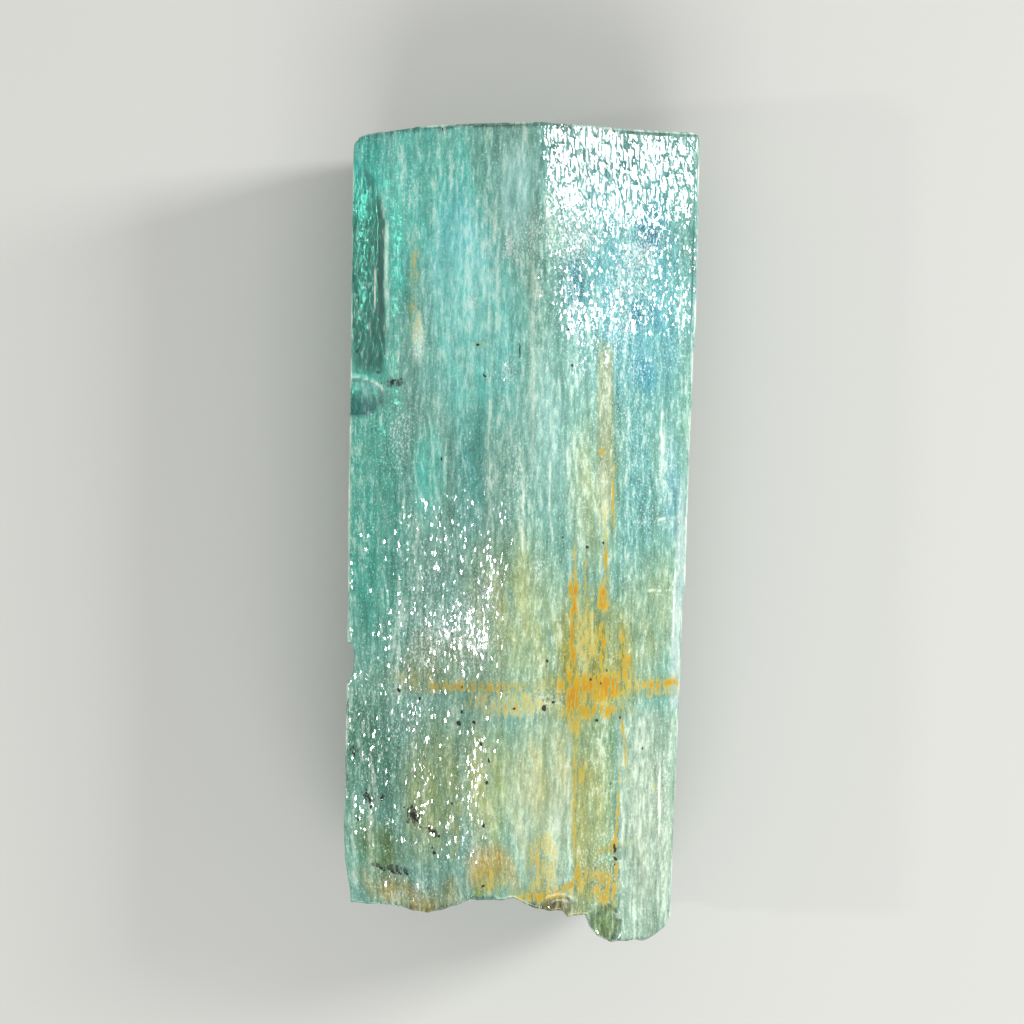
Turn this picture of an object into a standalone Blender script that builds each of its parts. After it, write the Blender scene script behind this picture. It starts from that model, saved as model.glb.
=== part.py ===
"""Rough aquamarine: one broken hexagonal beryl prism, lying on its flat back.

Metres, +Z up. The prism's length runs along Y. The grown flat end is at +Y and
the broken end at -Y. The left and right upper faces meet in a prism edge at the grown
end, and a narrow third face widens between them towards the break. A narrow flat face
lies at Z = 0.
"""

import math

import bmesh
import bpy
from mathutils import Vector, noise

MM = 0.001

# Driving sizes of the prism.
TOP_END_Y = 20.0 * MM
TOP_END_SLANT = 0.15 * MM  # the left side of the grown end is this much shorter
OVERRUN_Y = -22.0 * MM  # the prism is drawn to here, then broken off
HEIGHT = 13.4 * MM
# The two edges of the narrow upper face, each as (x, z) at the grown and the broken end.
TOP_LEFT = ((0.35 * MM, HEIGHT - 0.02 * MM), (-1.45 * MM, 12.60 * MM))
TOP_RIGHT = ((1.15 * MM, HEIGHT - 0.08 * MM), (4.50 * MM, 11.75 * MM))
SHOULDER_Z = 8.5 * MM  # height of the two side edges
WAIST_Z = 3.4 * MM  # where the side faces turn in towards the back
LEFT_X = (-8.40 * MM, -8.86 * MM)  # left side edge at the grown and broken ends
RIGHT_X = (8.86 * MM, 7.40 * MM)
REST_X = (-4.2 * MM, 3.9 * MM)  # width of the flat back face

EDGE_ROUNDING = 0.35 * MM  # how far each prism edge is blunted
ROUNDING_SHARE = 0.3  # of the face beside it, at most
END_CHAMFER = 0.30 * MM
STATIONS = 26  # rings of points along the prism
SIDE_STEPS = 4  # points across each prism face
UNEVENNESS = 0.05 * MM
UNEVENNESS_SCALE = 3.0 * MM
FLAT_BELOW = 0.02 * MM  # points under this height stay on the flat back face

# The broken end as seen from above: (x, y) in millimetres, left to right.
BREAK_OUTLINE = [
    (-9.60, -16.60),
    (-8.90, -17.20),
    (-8.55, -18.40),
    (-6.00, -18.35),
    (-4.60, -18.42),
    (-3.70, -18.20),
    (-2.50, -17.65),
    (-2.10, -17.84),
    (-0.40, -17.75),
    (0.15, -18.00),
    (1.00, -18.05),
    (1.95, -18.28),
    (2.20, -18.65),
    (3.22, -18.65),
    (3.28, -19.20),
    (3.65, -19.58),
    (4.30, -19.82),
    (5.30, -19.96),
    (6.30, -20.00),
    (7.05, -19.78),
    (7.38, -19.30),
    (9.60, -18.60),
]
BREAK_ROWS = 12  # points down the broken face
BREAK_LIP = 0.55 * MM  # how far the break is set back just under the top faces
BREAK_LIP_DEPTH = 0.9 * MM
BREAK_UNDERCUT = 1.1 * MM  # how far it is set back at the bottom
BREAK_RIPPLE = 0.16 * MM
BREAK_RIPPLE_SCALE = 1.6 * MM

# The nick in the left side edge and the two scooped chips beside it.
NICK_Y = (-5.45 * MM, -7.25 * MM)
NICK_DEPTH = 0.38 * MM
NICK_HEIGHTS = (4.6 * MM, 10.5 * MM)
SHELL_CHIP_CENTRE = (-8.75 * MM, 6.9 * MM, 9.45 * MM)
SHELL_CHIP_RADII = (1.5 * MM, 1.0 * MM, 1.3 * MM)
SCOOP_CENTRE = (-8.6 * MM, 13.4 * MM, 9.75 * MM)
SCOOP_RADII = (1.9 * MM, 6.2 * MM, 1.25 * MM)

# Clear blue-green beryl.
BERYL_COLOUR = (0.30, 0.60, 0.54, 1.0)
BERYL_ROUGHNESS = 0.25
BERYL_IOR = 1.577
BERYL_TRANSMISSION = 0.6


def mix(a, b, t):
    return a + (b - a) * t


def outline_at(points, x):
    """The y of a polyline of (x, y) points at x."""
    for (x0, y0), (x1, y1) in zip(points, points[1:]):
        if x <= x1:
            return mix(y0, y1, max(0.0, (x - x0) / (x1 - x0)))
    return points[-1][1]


def section_corners(along):
    """The prism's corners as (x, z), with along 0 at the grown end and 1 at the break."""
    left = mix(*LEFT_X, along)
    right = mix(*RIGHT_X, along)
    return [
        tuple(mix(a, b, along) for a, b in zip(*TOP_LEFT)),
        tuple(mix(a, b, along) for a, b in zip(*TOP_RIGHT)),
        (right, SHOULDER_Z + 0.1 * MM),
        (right - 0.15 * MM, WAIST_Z),
        (REST_X[1], 0.0),
        (REST_X[0], 0.0),
        (left + 0.2 * MM, WAIST_Z - 0.3 * MM),
        (left, SHOULDER_Z),
    ]


def blunting(start, end):
    """How far the blunting of a prism edge reaches along the face from start to end."""
    face = end - start
    return face.normalized() * min(EDGE_ROUNDING, ROUNDING_SHARE * face.length)


def section_points(along, inset=0.0):
    """The section as a closed loop of (x, z) points with its edges blunted."""
    corners = [Vector(c) for c in section_corners(along)]
    middle = Vector((0.0, HEIGHT / 2))
    points = []
    for i, corner in enumerate(corners):
        after = corners[(i + 1) % len(corners)]
        beyond = corners[(i + 2) % len(corners)]
        side = blunting(corner, after)
        next_side = blunting(after, beyond)
        for step in range(SIDE_STEPS + 1):
            points.append((corner + side).lerp(after - side, step / SIDE_STEPS))
        if after.y > 0.0:
            points.append(after + (next_side - side) * 0.25)
    return [p + (middle - p).normalized() * inset for p in points]


def front_height(x):
    """Height of the upper faces at x, taken at the broken end."""
    crown = [(LEFT_X[1], SHOULDER_Z), TOP_LEFT[1], TOP_RIGHT[1], (RIGHT_X[1], SHOULDER_Z)]
    return outline_at(crown, x)


def break_y(x, z):
    """Where the broken face lies: furthest out a little below the upper faces."""
    depth = max(0.0, front_height(x) - z)
    lip = BREAK_LIP * math.exp(-depth / BREAK_LIP_DEPTH)
    undercut = BREAK_UNDERCUT * (depth / HEIGHT) ** 2
    ripple = BREAK_RIPPLE * noise.noise(Vector((x, z, 0.0)) / BREAK_RIPPLE_SCALE)
    edge = outline_at(BREAK_OUTLINE, x / MM) * MM
    return edge + lip + undercut + ripple * min(1.0, depth / BREAK_LIP_DEPTH)


def new_object(name, bm):
    mesh = bpy.data.meshes.new(name)
    bmesh.ops.recalc_face_normals(bm, faces=bm.faces)
    bm.to_mesh(mesh)
    bm.free()
    obj = bpy.data.objects.new(name, mesh)
    bpy.context.collection.objects.link(obj)
    return obj


def make_prism():
    """The unbroken prism: rings of points from the grown end to past the break."""
    bm = bmesh.new()
    rings = []
    for station in range(STATIONS):
        along = station / (STATIONS - 1)
        at_end = station == 0
        loop = section_points(along, END_CHAMFER if at_end else 0.0)
        y_flat = mix(TOP_END_Y, OVERRUN_Y, along)
        if station == 1:
            y_flat = TOP_END_Y - END_CHAMFER
        ring = []
        for p in loop:
            slant = TOP_END_SLANT * max(0.0, (RIGHT_X[0] - p.x) / (RIGHT_X[0] - LEFT_X[0]))
            y = y_flat - slant * (1.0 - along)
            place = Vector((p.x, y, p.y))
            if p.y > FLAT_BELOW and not at_end:
                lift = noise.noise(place / UNEVENNESS_SCALE) * UNEVENNESS
                outward = Vector((p.x, 0.0, p.y - HEIGHT / 2)).normalized()
                place += outward * lift
            ring.append(bm.verts.new((place.x, place.y, max(0.0, place.z))))
        rings.append(ring)
    for ring, after in zip(rings, rings[1:]):
        for i in range(len(ring)):
            j = (i + 1) % len(ring)
            bm.faces.new((ring[i], ring[j], after[j], after[i]))
    bm.faces.new(rings[0])
    bm.faces.new(list(reversed(rings[-1])))
    return new_object("crystal", bm)


def make_break_cutter():
    """The space beyond the broken face, as a closed block."""
    bm = bmesh.new()
    low, high = -1.0 * MM, HEIGHT + 1.0 * MM
    far_y = OVERRUN_Y - 3.0 * MM
    columns = [x * MM for x, _ in BREAK_OUTLINE]
    heights = [mix(low, high, i / BREAK_ROWS) for i in range(BREAK_ROWS + 1)]
    near = [[bm.verts.new((x, break_y(x, z), z)) for z in heights] for x in columns]
    far = [[bm.verts.new((x, far_y, z)) for z in heights] for x in columns]
    for i in range(len(columns) - 1):
        for j in range(BREAK_ROWS):
            bm.faces.new((near[i][j], near[i + 1][j], near[i + 1][j + 1], near[i][j + 1]))
            bm.faces.new((far[i][j], far[i][j + 1], far[i + 1][j + 1], far[i + 1][j]))
        for j in (0, BREAK_ROWS):
            bm.faces.new((near[i][j], near[i + 1][j], far[i + 1][j], far[i][j]))
    for i in (0, len(columns) - 1):
        for j in range(BREAK_ROWS):
            bm.faces.new((near[i][j], near[i][j + 1], far[i][j + 1], far[i][j]))
    return new_object("cut_break", bm)


def make_nick_cutter():
    """A wedge across the left side edge, square above and slanting out below."""
    bm = bmesh.new()
    inner_x = mix(*LEFT_X, 0.62) + NICK_DEPTH
    outer_x = inner_x - 2.0 * MM
    slant = 0.9 * NICK_DEPTH
    outline = [
        (outer_x, NICK_Y[0]),
        (inner_x, NICK_Y[0]),
        (inner_x + 0.08 * MM, mix(*NICK_Y, 0.5)),
        (inner_x, NICK_Y[1] + slant),
        (inner_x - 2 * NICK_DEPTH, NICK_Y[1] - slant),
        (outer_x, NICK_Y[1] - slant),
    ]
    bottom = [bm.verts.new((x, y, NICK_HEIGHTS[0])) for x, y in outline]
    top = [bm.verts.new((x, y, NICK_HEIGHTS[1])) for x, y in outline]
    for i in range(len(outline)):
        j = (i + 1) % len(outline)
        bm.faces.new((bottom[i], bottom[j], top[j], top[i]))
    bm.faces.new(bottom)
    bm.faces.new(top)
    return new_object("cut_nick", bm)


def make_scoop_cutter(name, centre, radii):
    """A rounded hollow, as a chip leaves."""
    bm = bmesh.new()
    bmesh.ops.create_uvsphere(bm, u_segments=20, v_segments=12, radius=1.0)
    bmesh.ops.scale(bm, vec=radii, verts=bm.verts)
    bmesh.ops.translate(bm, vec=centre, verts=bm.verts)
    return new_object(name, bm)


def beryl_material():
    material = bpy.data.materials.new("beryl")
    material.use_nodes = True
    shader = material.node_tree.nodes["Principled BSDF"]
    shader.inputs["Base Color"].default_value = BERYL_COLOUR
    shader.inputs["Roughness"].default_value = BERYL_ROUGHNESS
    shader.inputs["Metallic"].default_value = 0.0
    shader.inputs["IOR"].default_value = BERYL_IOR
    shader.inputs["Transmission Weight"].default_value = BERYL_TRANSMISSION
    material.diffuse_color = BERYL_COLOUR
    return material


for old in list(bpy.data.objects):
    bpy.data.objects.remove(old, do_unlink=True)

crystal = make_prism()
cutters = [
    make_break_cutter(),
    make_nick_cutter(),
    make_scoop_cutter("cut_shell_chip", SHELL_CHIP_CENTRE, SHELL_CHIP_RADII),
    make_scoop_cutter("cut_scoop", SCOOP_CENTRE, SCOOP_RADII),
]
for cutter in cutters:
    cutter.hide_render = True
    cutter.display_type = "WIRE"
    cut = crystal.modifiers.new(cutter.name, "BOOLEAN")
    cut.operation = "DIFFERENCE"
    cut.solver = "EXACT"
    cut.object = cutter

crystal.data.materials.append(beryl_material())
crystal.data.shade_smooth()
crystal.data.set_sharp_from_angle(angle=math.radians(20))
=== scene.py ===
"""Rough aquamarine lying on its back: the looks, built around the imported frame."""

import math

import bmesh
import bpy
import numpy as np
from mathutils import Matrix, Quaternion, Vector, geometry
from mathutils.bvhtree import BVHTree


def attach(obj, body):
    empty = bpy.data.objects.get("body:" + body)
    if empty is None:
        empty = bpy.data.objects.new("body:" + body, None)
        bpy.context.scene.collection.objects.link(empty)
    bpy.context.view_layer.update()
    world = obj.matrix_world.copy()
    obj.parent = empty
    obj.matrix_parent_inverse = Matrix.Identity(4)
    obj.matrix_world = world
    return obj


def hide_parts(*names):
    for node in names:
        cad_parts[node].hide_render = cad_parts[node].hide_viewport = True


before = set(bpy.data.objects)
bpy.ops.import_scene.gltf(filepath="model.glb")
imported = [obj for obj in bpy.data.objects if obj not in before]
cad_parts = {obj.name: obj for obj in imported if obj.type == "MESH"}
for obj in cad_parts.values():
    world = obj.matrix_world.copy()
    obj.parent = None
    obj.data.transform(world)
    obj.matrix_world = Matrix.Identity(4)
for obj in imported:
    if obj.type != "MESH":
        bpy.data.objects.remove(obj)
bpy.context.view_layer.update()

MM = 0.001

# The view: straight down on the upper prism edge, as a close-up lens 15 cm away sees it,
# so the grown end bows a little and the side edges of the prism make the outline.
SIDE_EDGE_Z = 8.5
LENS_DISTANCE = 148.4
LENS = 105.0
VIEW_CENTRE = (-0.5, 1.1)

lens = bpy.data.cameras.new("camera")
lens.lens = LENS
lens.sensor_width = 36.0
lens.clip_start = 0.01
camera = bpy.data.objects.new("camera", lens)
camera.location = Vector((*VIEW_CENTRE, SIDE_EDGE_Z + LENS_DISTANCE)) * MM
bpy.context.collection.objects.link(camera)
bpy.context.scene.camera = camera
bpy.context.scene.view_settings.view_transform = "Standard"
bpy.context.scene.cycles.max_bounces = 6
bpy.context.scene.cycles.transmission_bounces = 6
bpy.context.scene.cycles.diffuse_bounces = 2
bpy.context.scene.cycles.glossy_bounces = 2


# The crystal: one tapering six-sided prism of beryl, grown flat at the top end and
# snapped off at the other. Its faces are striated along their length and finely etched.
LEFT_EDGE = [
    (20.0, -8.38), (16.6, -8.44), (10.6, -8.50), (6.7, -8.55), (1.7, -8.64), (-3.3, -8.66),
    (-9.2, -8.75), (-13.2, -8.80), (-15.2, -8.89), (-17.2, -8.80), (-18.6, -8.55),
]
RIGHT_EDGE = [
    (20.0, 8.84), (14.6, 8.75), (10.6, 8.64), (8.7, 8.51), (4.7, 8.36), (0.7, 8.20),
    (-2.6, 8.12), (-3.4, 7.99), (-7.2, 7.86), (-13.2, 7.61), (-20.0, 7.33),
]
REST = (-4.2, 3.9)
WAIST_Z = 3.3
NARROW_FACE = [(0.0, 14.6), (0.3, 13.35), (1.0, 12.25)]  # the third upper face, lower towards the break
LEFT_SLOPE = (0.538, 0.558)
RIGHT_SLOPE = (0.588, 1.08)
NARROW_SLOPE = -0.13
RIDGE_SOFTNESS = 0.22
GROWN_OUTLINE = [
    (-8.8, 19.70), (-7.75, 19.84), (-5.25, 20.02), (-2.5, 20.00), (0.7, 19.86), (4.5, 19.87), (7.4, 19.92), (8.9, 19.94),
]
BREAK_OUTLINE = [
    (-9.60, -18.10), (-8.90, -18.20), (-8.55, -18.42), (-6.00, -18.35), (-4.60, -18.42), (-3.70, -18.20),
    (-2.50, -17.65), (-2.10, -17.84), (-0.40, -17.75), (0.15, -18.00), (1.00, -18.05), (1.95, -18.28),
    (2.20, -18.65), (3.22, -18.65), (3.28, -19.20), (3.65, -19.58), (4.30, -19.82), (5.30, -19.96),
    (6.30, -20.00), (7.05, -19.78), (7.38, -19.30), (9.60, -18.60),
]
EDGE_RADIUS = 0.20
ARC_STEPS = 5
ACROSS = {"top": 186, "side": 30, "under": 24, "rest": 18}
ROW_STEP = 0.142
END_RADIUS = 0.13
CORNER_RADII = (0.70, 0.38)
CAP_STEP = 0.22


def wave(x, y, seed, scale):
    """Smooth numbers between about -1 and 1 over a plane, the same on every run."""
    rng = np.random.default_rng(seed)
    total = 0.0
    for _ in range(7):
        a, b, c = rng.normal(size=2).tolist() + [rng.uniform(0, 2 * math.pi)]
        total = total + np.sin((a * x + b * y) * 2.2 / scale + c)
    return total / 3.7


def smooth(value, low, high):
    t = np.clip((value - low) / (high - low), 0, 1)
    return t * t * (3 - 2 * t)


def along(points, value):
    """The second number of (first, second) pairs at a value of the first."""
    first, second = np.array(sorted(points)).T
    return np.interp(value, first, second)


def roof(x, y, s):
    """Height of the upper faces: the left, right and narrow middle face meet in worn ridges."""
    u = (x - along(LEFT_EDGE, y)) / 9.0
    bulge = 0.20 * np.sin(np.pi * np.clip(u, 0, 1))
    left = SIDE_EDGE_Z + (LEFT_SLOPE[0] * (1 - s) + LEFT_SLOPE[1] * s) * (x - along(LEFT_EDGE, y)) + bulge
    right = SIDE_EDGE_Z + 0.1 + (RIGHT_SLOPE[0] * (1 - s) + RIGHT_SLOPE[1] * s) * (along(RIGHT_EDGE, y) - x)
    narrow = along(NARROW_FACE, s) + NARROW_SLOPE * (x - 1.0)
    k = RIDGE_SOFTNESS
    return -k * np.log(np.exp(-left / k) + np.exp(-right / k) + np.exp(-narrow / k))


def break_y(x, z):
    """The broken face: furthest out just under the upper faces, hackly and set back below."""
    depth = np.maximum(0.0, roof(x, -18.0, 1.0) - z)
    lip = 0.40 * np.exp(-depth / 0.9) * (0.6 + 0.4 * wave(x, z * 0, 5, 1.4))
    undercut = 1.1 * (depth / 13.4) ** 2
    arcs = 0.05 * np.sin(np.hypot(x - 9.0, z - 15.0) * 3.1 + wave(x, z, 4, 3.0)) * smooth(depth, 0.6, 2.0)
    hackle = 0.13 * wave(x, z, 6, 1.3) + 0.06 * wave(x, z, 7, 0.5)
    step = 0.35 * smooth(wave(x * 0.4, z, 10, 2.6), 0.15, 0.3) * smooth(depth, 0.5, 1.5)
    return along(BREAK_OUTLINE, x) + lip + undercut + arcs + step + hackle * np.minimum(1.0, 0.3 + depth)


def grown_y(x, z):
    """The grown end: nearly flat, with shallow growth hillocks."""
    mean = (along(GROWN_OUTLINE, x - 0.5) + along(GROWN_OUTLINE, x) + along(GROWN_OUTLINE, x + 0.5)) / 3
    hillocks = 0.02 * wave(x, z, 8, 2.5) + 0.03 * smooth(wave(x, z, 12, 1.7), 0.1, 0.25)
    return mean - hillocks * smooth(roof(x, 20.0, 0.0) - z, 0.2, 0.8)


def base_loop(s):
    """Points (x, z) round the prism, at its grown end for s 0 and its break for s 1."""
    y = 20.0 - 39.0 * s
    left, right = along(LEFT_EDGE, y), along(RIGHT_EDGE, y)
    corners = [
        (right, SIDE_EDGE_Z + 0.1), (right - 0.15, WAIST_Z + 0.1), (REST[1], 0.0),
        (REST[0], 0.0), (left + 0.2, WAIST_Z - 0.2), (left, SIDE_EDGE_Z),
    ]
    counts = [ACROSS[name] for name in ("side", "under", "rest", "under", "side", "top")]
    corners = [Vector(c) for c in corners]
    points = []
    for i, corner in enumerate(corners):
        after = corners[(i + 1) % len(corners)]
        back = (corners[i - 1] - corner).normalized() * EDGE_RADIUS
        ahead = (after - corner).normalized() * EDGE_RADIUS
        for step in range(ARC_STEPS):
            t = step / (ARC_STEPS - 1)
            points.append((corner + back) * (1 - t) ** 2 + corner * 2 * t * (1 - t) + (corner + ahead) * t * t)
        here, there = corner + ahead, after - ahead
        points += [here.lerp(there, k / counts[i]) for k in range(1, counts[i])]
    return np.array(points)


around = len(base_loop(0.0))
top_start = around - ACROSS["top"] + 1
on_top = np.zeros(around, bool)
on_top[top_start:] = True
on_top[top_start - 3 : top_start] = True
on_top[:2] = True

# Where a chip has come off: a long scoop and a shell-shaped chip on the left side edge.
SCOOP_RIM = [(7.7, -5.85), (8.2, -6.30), (8.94, -6.57), (12.5, -6.72), (15.5, -6.66), (17.5, -7.05), (19.3, -7.9)]
SCOOP_DEPTH = 0.36
SHELL_CENTRE, SHELL_RADII, SHELL_DEPTH = (-8.75, 6.85), (2.05, 1.02), 0.62
GLASSY_CHIPS = [  # on the broken edge: centre, half size, depth
    ((4.05, -18.9), (0.95, 1.1), 0.40), ((1.8, -17.95), (0.9, 0.5), 0.25), ((-1.9, -17.75), (0.8, 0.35), 0.25),
]


def chip_depth(x, y):
    rim = along(SCOOP_RIM, y)
    u = (rim - x) / (rim - along(LEFT_EDGE, y))
    inside = smooth(u, 0.0, 0.40)
    reach = smooth(y, 6.8, 11.0) * (1 - smooth(y, 15.5, 19.2))
    scoop = SCOOP_DEPTH * reach * (0.35 * inside + 0.65 * np.sin(np.pi * np.clip(u, 0, 1)) ** 0.8)
    r = np.hypot((x - SHELL_CENTRE[0]) / SHELL_RADII[0], (y - SHELL_CENTRE[1]) / SHELL_RADII[1])
    shell = SHELL_DEPTH * np.clip(1 - r**2, 0, 1) ** 0.6 + 0.03 * np.sin(r * 16) * (r < 1)
    depth = np.maximum(scoop, shell)
    for centre, half, chip in GLASSY_CHIPS:
        q = np.hypot((x - centre[0]) / half[0], (y - centre[1]) / half[1])
        depth = np.maximum(depth, chip * smooth(1 - q, 0.0, 0.5))
    return depth


NICK = [(-5.30, -9.5), (-5.44, -8.42), (-6.10, -8.33), (-6.75, -8.36), (-7.62, -8.80), (-7.9, -9.5)]
NICK_Z = (4.6, 10.5)

rows = int(38.4 / ROW_STEP)
worn = [0.0, 0.35, 0.7, 1.0]
rings = []
for row in range(len(worn) + rows):
    s = max(0, row - len(worn) + 1) / rows
    x, z = base_loop(s).T
    y = grown_y(x, z) * (1 - s) + break_y(x, z) * s
    z = np.where(on_top, np.maximum(z, roof(x, y, s)), z)
    if row < len(worn):
        angle = worn[row] * math.pi / 2
        inset, drop = END_RADIUS * (1 - math.sin(angle)), END_RADIUS * (1 - math.cos(angle))
        wear = np.clip(1.0 + 0.9 * wave(np.arctan2(z - 6.7, x) * 3, 0 * x, 9, 1.0), 0.3, 2.0)
        for notch in (-3.8, -0.55, 2.3, 4.5):
            wear = wear + 3.0 * (np.abs(x - notch) < 0.07) * (z > 9)
        reach = np.hypot(x, z - 6.7)
        x, z = x * (1 - inset * wear / reach), 6.7 + (z - 6.7) * (1 - inset * wear / reach)
        y = y - drop * wear
    for side, radius in ((-1, CORNER_RADII[0]), (1, CORNER_RADII[1])):
        q = np.clip((y - (grown_y(x, z) - radius)) / radius, 0, 1)
        limit = along(LEFT_EDGE if side < 0 else RIGHT_EDGE, y) * side - radius * (1 - np.sqrt(1 - q * q))
        x = side * np.minimum(x * side, limit)
    z = np.where(on_top, z - chip_depth(x, y), z)
    nick = along(NICK, y) - 9.5 * (1 - smooth(z, NICK_Z[0], NICK_Z[0] + 0.4) * (1 - smooth(z, NICK_Z[1] - 0.3, NICK_Z[1])))
    x = np.maximum(x, nick)
    rings.append(np.column_stack([x, y, z]))
side = np.array(rings)


def filled(loop, height):
    """Triangles across a closed loop of points, with the places between from height(x, z)."""
    flat = loop[:, [0, 2]]
    rng = np.random.default_rng(3)
    low, high = flat.min(0), flat.max(0)
    gx, gz = np.meshgrid(np.arange(low[0], high[0], CAP_STEP), np.arange(low[1], high[1], CAP_STEP))
    inner = np.column_stack([gx.ravel(), gz.ravel()])
    inner += rng.uniform(-0.3, 0.3, inner.shape) * CAP_STEP
    a, b = flat, np.roll(flat, -1, axis=0)
    crosses = (a[None, :, 1] > inner[:, None, 1]) != (b[None, :, 1] > inner[:, None, 1])
    slope = (b[:, 0] - a[:, 0]) / np.where(b[:, 1] == a[:, 1], 1e-9, b[:, 1] - a[:, 1])
    left_of = inner[:, None, 0] < a[:, 0] + (inner[:, None, 1] - a[:, 1]) * slope
    inside = (crosses & left_of).sum(1) % 2 == 1
    near = np.min(((inner[:, None] - flat[None]) ** 2).sum(2), axis=1)
    inner = inner[inside & (near > (0.5 * CAP_STEP) ** 2)]
    count = len(flat)
    edges = [(i, (i + 1) % count) for i in range(count)]
    places = [Vector(p) for p in np.vstack([flat, inner])]
    _, _, faces, *_ = geometry.delaunay_2d_cdt(places, edges, [], 1, 1e-7)
    y = height(inner[:, 0], inner[:, 1])
    return np.column_stack([inner[:, 0], y, inner[:, 1]]), faces


verts = side.reshape(-1, 3)
faces = []
total_rows = len(side)
index = np.arange(total_rows * around).reshape(total_rows, around)
right = np.roll(index, -1, axis=1)
quads = np.stack([index[:-1], right[:-1], right[1:], index[1:]], axis=-1).reshape(-1, 4)
faces += quads.tolist()
for row, height, flip in ((0, grown_y, False), (total_rows - 1, break_y, True)):
    inner, cap = filled(side[row], height)
    start = len(verts)
    verts = np.vstack([verts, inner])
    for face in cap:
        places = [index[row][k] if k < around else start + k - around for k in face]
        faces.append([int(p) for p in (places[::-1] if flip else places)])

mesh = bpy.data.meshes.new("aquamarine")
mesh.from_pydata((verts * MM).tolist(), [], faces)
sheet = bmesh.new()
sheet.from_mesh(mesh)
bmesh.ops.recalc_face_normals(sheet, faces=sheet.faces)
sheet.to_mesh(mesh)
sheet.free()
mesh.shade_smooth()
crystal = bpy.data.objects.new("aquamarine", mesh)
bpy.context.collection.objects.link(crystal)

x, y, z = verts.T
is_side = np.arange(len(verts)) < side.shape[0] * around
upper = np.zeros(len(verts), bool)
upper[: side.shape[0] * around] = np.tile(on_top, side.shape[0])


def spot(centre, half, angle=0.0, core=0.0, x=x, y=y):
    """1 at the middle of an ellipse seen from above, falling to 0 at its rim."""
    turn = math.radians(angle)
    u = (x - centre[0]) * math.cos(turn) + (y - centre[1]) * math.sin(turn)
    v = (y - centre[1]) * math.cos(turn) - (x - centre[0]) * math.sin(turn)
    return 1 - smooth(np.hypot(u / half[0], v / half[1]), core, 1.0)


def store(name, values):
    mesh.attributes.new(name, "FLOAT", "POINT").data.foreach_set("value", values)


# The place of each point on the faces laid out flat, in mm: round the prism and along it.
mid_loop = base_loop(0.5)
round_it = np.concatenate([[0.0], np.cumsum(np.linalg.norm(np.diff(mid_loop, axis=0), axis=1))])
flat_place = np.column_stack([x, 3.0 * z, 0 * x])
flat_place[: side.shape[0] * around, 0] = np.tile(round_it, side.shape[0])
flat_place[: side.shape[0] * around, 1] = y[: side.shape[0] * around]
mesh.attributes.new("laid_flat", "FLOAT_VECTOR", "POINT").data.foreach_set("vector", flat_place.ravel())

# How far each point is a natural face (1), and not an end, a chip or the face it lies on.
chipped = np.where(upper, smooth(chip_depth(x, y), 0.02, 0.12), 0.0)
face = np.where(is_side, 1.0, 0.0) * np.clip(z / 0.5, 0.15, 1)
face = face * np.clip((grown_y(x, z) - y) / 0.5, 0.15, 1) * np.clip((y - along(BREAK_OUTLINE, x)) / 0.4, 0.25, 1)
store("prism_face", face * (1 - 0.8 * chipped))

# Where etching has left the faces a mosaic of tiny tilted facets, and where it is coarser cells.
ETCHED = [
    ((5.4, 15.0), (6.5, 7.0), 1.0), ((7.0, 1.5), (1.6, 6.0), 0.30), ((-6.0, -17.7), (3.8, 1.5), 0.9),
    ((-5.9, 18.7), (1.0, 1.4), 0.9), ((-2.3, 11.4), (0.5, 0.9), 1.0),
    ((-0.6, 14.0), (0.7, 1.5), 0.9), ((-0.8, 8.1), (0.8, 1.6), 0.9), ((-5.9, 4.0), (1.2, 3.6), 0.55),
    ((-6.9, 17.0), (1.4, 2.5), 0.5), ((4.6, -18.2), (2.6, 1.3), 0.6), ((0.6, -3.0), (1.4, 4.6), 0.5),
]
sparkling = spot((-4.0, -7.3), (6.8, 12.0), core=0.35, x=x + 0.6 * wave(x, y * 0.4, 46, 1.2), y=y + 1.5 * wave(x, y, 47, 1.5))
etched = np.where(x < 0.7, 0.06 + 0.74 * sparkling, 0.06 + 0.30 * smooth(y, 7.0, 11.0))
for centre, half, strength in ETCHED:
    etched = np.maximum(etched, strength * spot(centre, half))
patchy = 0.75 + 0.5 * wave(x, y * 0.35, 41, 1.1)
glare = spot((-2.4, -4.7), (2.2, 2.0), core=0.4)
etched = etched * np.clip(patchy, 0.3, 1.2)
etched = etched * (1 - glare) + 0.10 * glare
frosted = smooth(x, 0.55, 0.85) * (0.35 + 0.65 * smooth(y, 1.0, 9.0))
etched = np.where(upper, np.maximum(etched, frosted * smooth(y, 8.0, 13.5)), 0.22)
cells = spot((4.9, 18.5), (6.6, 4.6), core=0.5) * smooth(x, 0.4, 0.9)
store("etched", etched * (1 - smooth(chipped, 0.0, 0.3)) * (1 - 0.92 * cells * upper) * is_side)
store("cells", cells * upper)


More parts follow.
